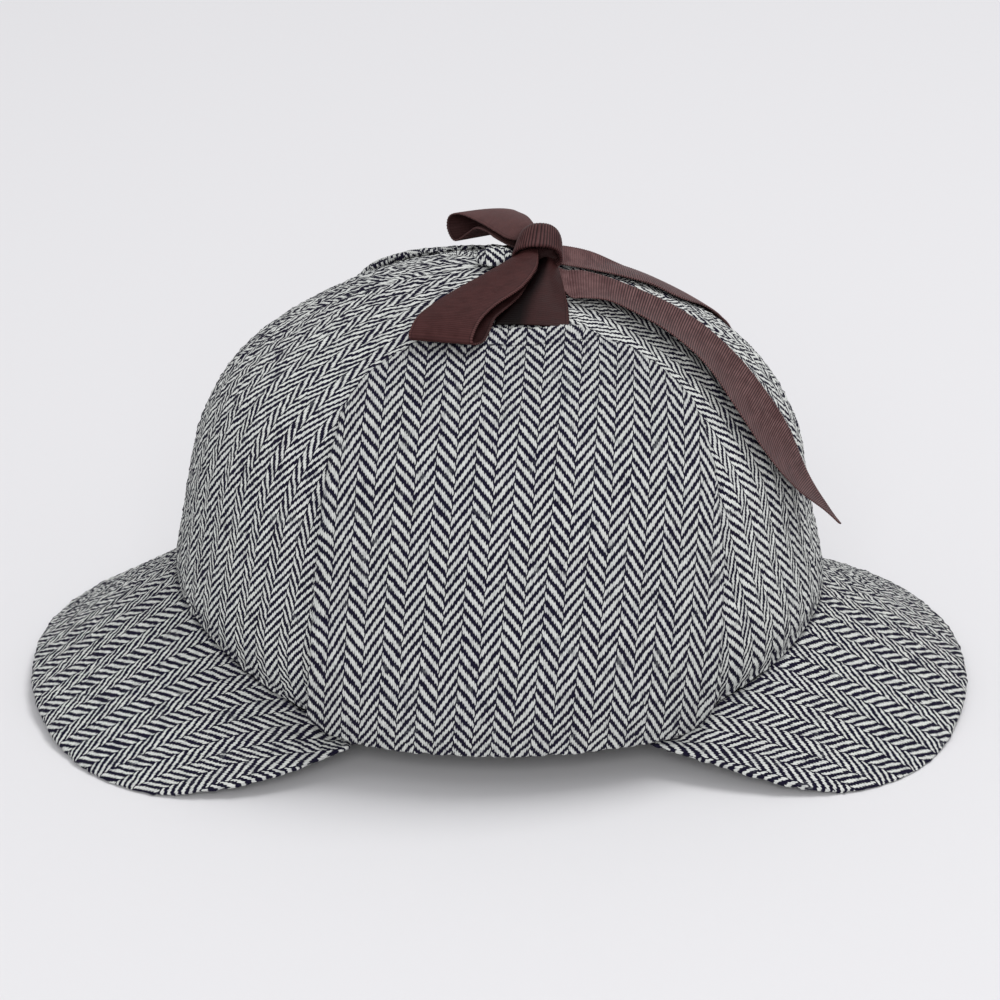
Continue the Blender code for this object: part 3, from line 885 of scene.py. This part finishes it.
def topButton():
    b = button
    form = bmesh.new()
    bmesh.ops.create_uvsphere(form, u_segments=40, v_segments=24, radius=1.0)
    weave = form.loops.layers.uv.new("weave")
    for vert in form.verts:
        x, y, z = vert.co
        around = math.hypot(x, y)
        reach = b["radius"]
        if z >= 0:
            rise = b["skirt"] + (b["height"] - b["skirt"]) * z**0.9
        else:
            rise = b["skirt"] * (1 + z)
            if around >= 0.01:  # squarer below, where it meets the crown
                reach *= min(around**0.85 / around, 1.15)
        vert.co = Vector((b["x"] + reach * x, reach * y, b["base"] + rise)) * mm
    for face in form.faces:
        for loop in face.loops:
            co = loop.vert.co / mm
            loop[weave].uv = (co.x * 0.95 + 4.2, co.y * 0.95 + co.z * 0.5)
    piece = finishObject("top_button_cloth", form, crownTweed, 1)
    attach(piece, "root")
    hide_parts("top_button")


topButton()
print("button made")


# each row is x, y and z of one edge, of the other edge, and how far the middle stands out. Loops
# run from the knot and back to it, legs up to the knot, and tails away from it
ribbons = {
    "tie_loop_near": (
        (12.6, -3.4, 153.6, 7.0, -2.6, 151.6, 0.9),
        (12.5, -6.6, 153.3, 4.9, -5.0, 151.4, 1.2),
        (12.0, -15.0, 151.2, -4.0, -14.0, 149.2, 1.6),
        (7.4, -26.0, 148.8, -12.9, -22.5, 147.2, 1.7),
        (-0.6, -35.6, 146.6, -20.1, -31.0, 145.7, 1.2),
        (-5.6, -44.4, 144.8, -25.9, -39.2, 143.9, 0.6),
        (-8.2, -51.7, 141.6, -28.4, -46.2, 141.2, 0.2),
        (-7.6, -51.9, 139.6, -28.0, -46.4, 139.2, 0.0),
        (-4.6, -48.0, 139.2, -25.6, -43.2, 138.5, 0.0),
        (-2.6, -42.6, 141.2, -23.6, -38.2, 140.3, -0.3),
        (-0.8, -37.0, 142.9, -21.4, -33.0, 141.6, -0.5),
        (5.6, -27.0, 145.0, -14.4, -23.0, 144.2, -0.6),
        (11.0, -16.0, 147.8, -4.6, -14.0, 147.0, -0.4),
        (12.6, -6.4, 150.0, 5.4, -5.2, 149.6, 0.0),
        (12.8, -3.4, 150.6, 7.4, -2.8, 150.2, 0.0)),
    "tie_loop_far": (
        (5.6, 4.2, 153.6, 12.4, 7.0, 156.6, 0.6),
        (1.8, 10.0, 152.6, 9.6, 20.0, 156.0, 1.8),
        (-3.1, 20.0, 152.1, 6.6, 31.0, 153.7, 2.0),
        (-8.4, 30.0, 151.6, 4.4, 40.0, 151.4, 1.5),
        (-13.4, 38.0, 150.8, 3.2, 46.0, 149.1, 0.8),
        (-17.0, 41.9, 148.6, 1.4, 49.6, 146.8, 0.2),
        (-17.6, 41.6, 144.4, 1.2, 50.0, 143.8, 0.0),
        (-15.2, 38.2, 141.4, 2.9, 46.6, 141.8, 0.0),
        (-10.6, 33.0, 146.0, 6.4, 43.0, 145.6, 0.0),
        (-7.8, 27.0, 149.8, 7.0, 37.0, 148.8, -0.3),
        (-4.1, 21.0, 150.6, 8.5, 29.5, 149.9, -0.4),
        (-1.8, 15.0, 150.9, 9.6, 21.0, 150.5, -0.3),
        (2.2, 9.0, 150.7, 10.6, 12.5, 150.9, -0.2),
        (5.4, 4.6, 151.0, 11.4, 6.4, 151.2, 0.0)),
    "tie_leg_near": (
        (-1.8, -36.2, 140.0, 22.2, -36.0, 138.8, 0.5),
        (0.6, -27.0, 142.8, 22.0, -27.0, 142.0, 2.2),
        (6.8, -17.0, 145.4, 20.8, -17.0, 144.9, 3.4),
        (12.2, -6.0, 148.2, 18.9, -6.0, 148.4, 2.2),
        (12.6, -3.0, 149.2, 18.0, -3.2, 149.4, 1.6)),
    "tie_leg_far": (
        (0.4, 36.2, 140.0, 22.2, 36.0, 138.8, -0.5),
        (3.2, 27.0, 143.0, 22.0, 27.0, 142.0, -2.2),
        (8.2, 17.0, 145.8, 20.8, 17.0, 144.9, -3.4),
        (12.2, 5.4, 148.0, 18.6, 5.4, 148.2, -2.2)),
    "tie_tail_near": (
        (17.2, -9.0, 147.0, 18.0, -3.0, 147.4, 0.2),
        (22.5, -21.2, 144.0, 21.6, -3.2, 146.1, 0.7),
        (27.1, -22.9, 144.1, 27.1, -3.5, 146.0, 0.9),
        (35.7, -24.7, 143.6, 37.1, -5.5, 143.8, 1.3),
        (48.9, -30.0, 138.6, 52.4, -7.5, 137.8, 1.5),
        (59.0, -33.2, 132.3, 63.3, -8.7, 131.6, 1.6),
        (67.0, -37.6, 125.4, 72.1, -12.0, 125.2, 1.6),
        (74.6, -43.0, 115.4, 81.4, -18.2, 117.0, 1.6),
        (86.2, -44.4, 97.8, 92.7, -22.4, 101.4, 1.5),
        (96.0, -38.1, 84.0, 100.8, -24.0, 83.0, 0.5),
        (106.0, -30.4, 73.1, 108.0, -25.4, 71.3, 0.2),
        (111.2, -27.0, 66.9, 111.9, -25.6, 65.9, 0.0)),
    "tie_tail_far": (
        (17.4, -0.6, 147.8, 17.0, 5.4, 151.2, 0.2),
        (21.4, -0.4, 146.9, 21.4, 9.0, 150.0, 0.6),
        (29.8, 2.2, 144.5, 30.2, 17.5, 144.9, 1.0),
        (40.1, 4.4, 141.4, 39.6, 22.5, 138.8, 1.1),
        (50.9, 6.0, 137.6, 48.4, 26.6, 133.2, 1.4),
        (60.6, 8.5, 131.4, 56.4, 31.4, 127.7, 1.5),
        (67.0, 17.0, 126.3, 56.6, 34.6, 126.4, 1.5),
        (72.7, 25.4, 120.0, 56.3, 37.7, 125.2, 1.5),
        (77.9, 35.4, 111.8, 61.8, 48.5, 115.8, 1.4),
        (81.4, 42.6, 100.7, 66.2, 56.4, 103.2, 1.3),
        (83.4, 48.5, 88.0, 71.0, 60.3, 89.0, 0.9),
        (82.5, 53.4, 74.9, 75.3, 60.4, 75.4, 0.4),
        (80.1, 58.2, 64.2, 78.9, 59.3, 64.3, 0.0)),
}


def ribbonPiece(name):
    _, table = smoothRows(ribbons[name], 80)
    middleLine = 0.5 * (table[:, :3] + table[:, 3:6])
    length = lengthAlong(middleLine)
    total = length[-1]
    rib, width = ribbonCloth["rib"], ribbonCloth["width"]
    alongLines = np.linspace(0, 1, int(total / rib * 4) + 1)
    acrossLines = np.array([0, 0.012, 0.035, 0.07, *np.linspace(0.12, 0.88, 12), 0.93, 0.965, 0.988, 1.0])

    def rowAt(along):
        at = limited(along) * total
        row = np.stack([np.interp(at, length, table[:, k]) for k in range(7)], -1)
        return row[:, :3], row[:, 3:6], row[:, 6]

    def shape(across, along):
        start, end, bulge = rowAt(along)
        ahead, behind = rowAt(along + 0.004), rowAt(along - 0.004)
        way = (ahead[0] + ahead[1]) - (behind[0] + behind[1])
        up = np.cross(end - start, way)
        up /= np.linalg.norm(up, axis=1, keepdims=True)
        ridge = np.cos(2 * math.pi * along * total / rib)
        toEnd = np.minimum(along, 1 - along) * total
        toSide = np.minimum(across, 1 - across) * width
        # each rib ends in a small turned stitch at the ribbon's edge
        stitch = ribbonCloth["edgeRelief"] * ridge * np.exp(-toSide / 0.5) * np.sign(across - 0.5)
        wide = np.linalg.norm(end - start, axis=1)
        reach = across + stitch / np.maximum(wide, 3)
        point = start + (end - start) * reach[:, None] + up * (4 * bulge * across * (1 - across))[:, None]
        if "tail" in name:
            point = keptOff(point, ribbonCloth["tailClearance"])
        edge = rollOver(np.minimum(toSide, toEnd), ribbonCloth["edgeRoll"])
        half = (0.5 * ribbonCloth["wall"] + ribbonCloth["ribRelief"] * ridge) * edge
        flat = np.stack((across * width, along * total + 0.5 * rib), -1)
        shade, insideShade = 0 * across, 0 * across
        if "loop" in name:  # painted shade inside the loop and where it goes into the knot
            toKnot = np.minimum(along, 1 - along) * total
            shade = 0.6 * np.exp(-toKnot / 3.0)
            insideShade = 0.55 + shade
        if "leg" in name:  # painted shade over the whole leg, deepest on the side under the loop, which lies in a deep fold
            fold = limited((0.52 - across + 0.16 * along) / 0.22)
            shade = 0.36 + 0.64 * fold * fold * (3 - 2 * fold)
            insideShade = shade
        return (point + up * half[:, None], point - up * half[:, None], flat,
                limited(shade), limited(insideShade), 0 * across)

    # painted light and shade by piece: the tails take a lighter lit tone, the near loop and the legs a
    # darker shaded tone, and the far loop a lighter lit tone
    material = flatRibbon if "tail" in name else drawnShadedRibbon
    if name == "tie_loop_far":
        material = drawnLitRibbon
    piece = clothPad(name + "_ribbon", acrossLines, alongLines, shape, material, subdivide=0)
    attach(piece, "root")
    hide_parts(name)


for name in ribbons:
    ribbonPiece(name)


knot = {
    # share of the way from the near middle to the far middle, then the place along Y, the
    # ring's middle in X, its half width, its top and its bottom
    "rings": (
        (0.00, -3.2, 12.4, 0.0, 151.2, 151.2),
        (0.10, -3.4, 12.4, 4.4, 153.2, 149.0),
        (0.16, -4.0, 12.2, 6.4, 154.4, 148.2),
        (0.20, -6.2, 12.1, 7.1, 155.1, 147.7),
        (0.24, -7.3, 12.1, 7.8, 155.8, 147.3),
        (0.28, -7.1, 12.2, 8.2, 156.5, 147.0),
        (0.38, -4.8, 12.5, 8.0, 157.7, 146.9),
        (0.50, -2.0, 12.8, 7.6, 159.2, 146.9),
        (0.62, 0.8, 13.1, 7.2, 160.2, 147.0),
        (0.74, 3.4, 13.2, 6.7, 160.0, 147.2),
        (0.84, 5.4, 13.2, 6.0, 158.9, 147.6),
        (0.92, 6.6, 13.1, 4.6, 156.9, 148.6),
        (1.00, 6.9, 13.0, 0.0, 152.6, 152.6)),
    "lip": 0.24,
    "wound": 44.2,  # length round the ring, 52 ribs
}


def knotPiece():
    # a ball with its poles along Y, drawn out into a band wound over a gathered middle
    form = bmesh.new()
    rib = ribbonCloth["rib"]
    ribs = round(knot["wound"] / rib)
    bmesh.ops.create_uvsphere(form, u_segments=6 * ribs, v_segments=44, radius=1.0)
    weave = form.loops.layers.uv.new("weave")
    paintedShadeLayer = form.verts.layers.float.new("paintedShade")
    _, table = smoothRows(knot["rings"], 40)
    share, turn = {}, {}
    for vert in form.verts:
        x, y, z = vert.co
        share[vert] = math.acos(max(-1, min(1, -z))) / math.pi
        turn[vert] = math.atan2(x, y)  # 0 at the top, positive to +X
    for vert in form.verts:
        at, angle = share[vert], turn[vert]
        row = [float(np.interp(at, table[:, 0], table[:, k])) for k in range(1, 6)]
        place, middle, half, top, bottom = row
        sine, cosine = math.sin(angle), math.cos(angle)
        wide = math.copysign(abs(sine) ** 0.85, sine)
        tall = math.copysign(abs(cosine) ** 0.85, cosine)
        onBand = limited((at - knot["lip"]) / 0.03) * limited((0.97 - at) / 0.08)
        gathered = limited((knot["lip"] - 0.03 - at) / 0.05)
        swell = ribbonCloth["ribRelief"] * 1.3 * math.cos(angle * ribs) * onBand
        swell += 0.45 * math.cos(7 * angle + 1.0) * gathered * min(half / 4, 1)
        height = 0.5 * (top + bottom) + (0.5 * (top - bottom) + swell) * tall
        vert.co = Vector((middle + (half + swell) * wide, place, height)) * mm
        # painted shade on the gathered middle under the band's lip
        vert[paintedShadeLayer] = 0.6 * gathered
    for face in form.faces:
        turns = [turn[v] for v in face.verts]
        wraps = max(turns) - min(turns) > math.pi
        for loop in face.loops:
            angle = turn[loop.vert] + (2 * math.pi if wraps and turn[loop.vert] < 0 else 0)
            across = 2.0 + 18.0 * (share[loop.vert] - knot["lip"])
            loop[weave].uv = (across, (angle / (2 * math.pi) * ribs + 0.5) * rib)
    bmesh.ops.recalc_face_normals(form, faces=form.faces)
    piece = finishObject("tie_knot_ribbon", form, knotRibbon)
    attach(piece, "root")
    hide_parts("tie_knot")


knotPiece()
print("bow made")


stage = {
    "floorColour": (0.772, 0.767, 0.782),
    "floorHalf": 4.0,
    "worldColour": (0.93, 0.93, 0.95),
    "worldStrength": 0.60,
    # metres and watts
    "lamps": {
        "topSoftbox": {"place": (1.05, 0.25, 3.3), "target": (0, 0, 0.06),
                       "size": (1.7, 1.4), "power": 50.5},
        "frontSoftbox": {"place": (-0.1, -3.5, 2.05), "target": (0, 0, 0.08),
                         "size": (2.0, 1.5), "power": 56.0},
    },
}


def addToScene(name, data):
    made = bpy.data.objects.new(name, data)
    bpy.context.scene.collection.objects.link(made)
    return made


def floorPlane():
    form = bmesh.new()
    bmesh.ops.create_grid(form, x_segments=1, y_segments=1, size=stage["floorHalf"])
    material, _, shader = newMaterial("paleFloor")
    shader.inputs["Base Color"].default_value = (*stage["floorColour"], 1)
    shader.inputs["Roughness"].default_value = 0.9
    shader.inputs["Specular IOR Level"].default_value = 0.1
    mesh = bpy.data.meshes.new("floor")
    form.to_mesh(mesh)
    form.free()
    mesh.materials.append(material)
    made = addToScene("floor", mesh)


def softLight(name, place, target, size, power):
    lamp = bpy.data.lights.new(name, "AREA")
    lamp.shape = "RECTANGLE"
    lamp.size, lamp.size_y = size
    lamp.energy = power
    made = addToScene(name, lamp)
    made.location = place
    made.rotation_euler = (Vector(target) - Vector(place)).to_track_quat("-Z", "Y").to_euler()


floorPlane()
for name, lamp in stage["lamps"].items():
    softLight(name, **lamp)
world = bpy.data.worlds.new("studio")
world.use_nodes = True
sky = world.node_tree.nodes["Background"]
sky.inputs["Color"].default_value = (*stage["worldColour"], 1)
sky.inputs["Strength"].default_value = stage["worldStrength"]
bpy.context.scene.world = world

view = {"target": (0.0002, 0.0, 0.06315), "elevation": 24.0, "distance": 1.2, "lens": 129.2}


def photoCamera():
    lens = bpy.data.cameras.new("photoCamera")
    lens.lens = view["lens"]
    lens.sensor_width = 36.0
    made = addToScene("photoCamera", lens)
    tilt = math.radians(view["elevation"])
    target = Vector(view["target"])
    made.location = target + view["distance"] * Vector((0, -math.cos(tilt), math.sin(tilt)))
    made.rotation_euler = (math.pi / 2 - tilt, 0, 0)
    bpy.context.scene.camera = made


photoCamera()
bpy.context.scene.view_settings.view_transform = "Standard"
print("stage set")
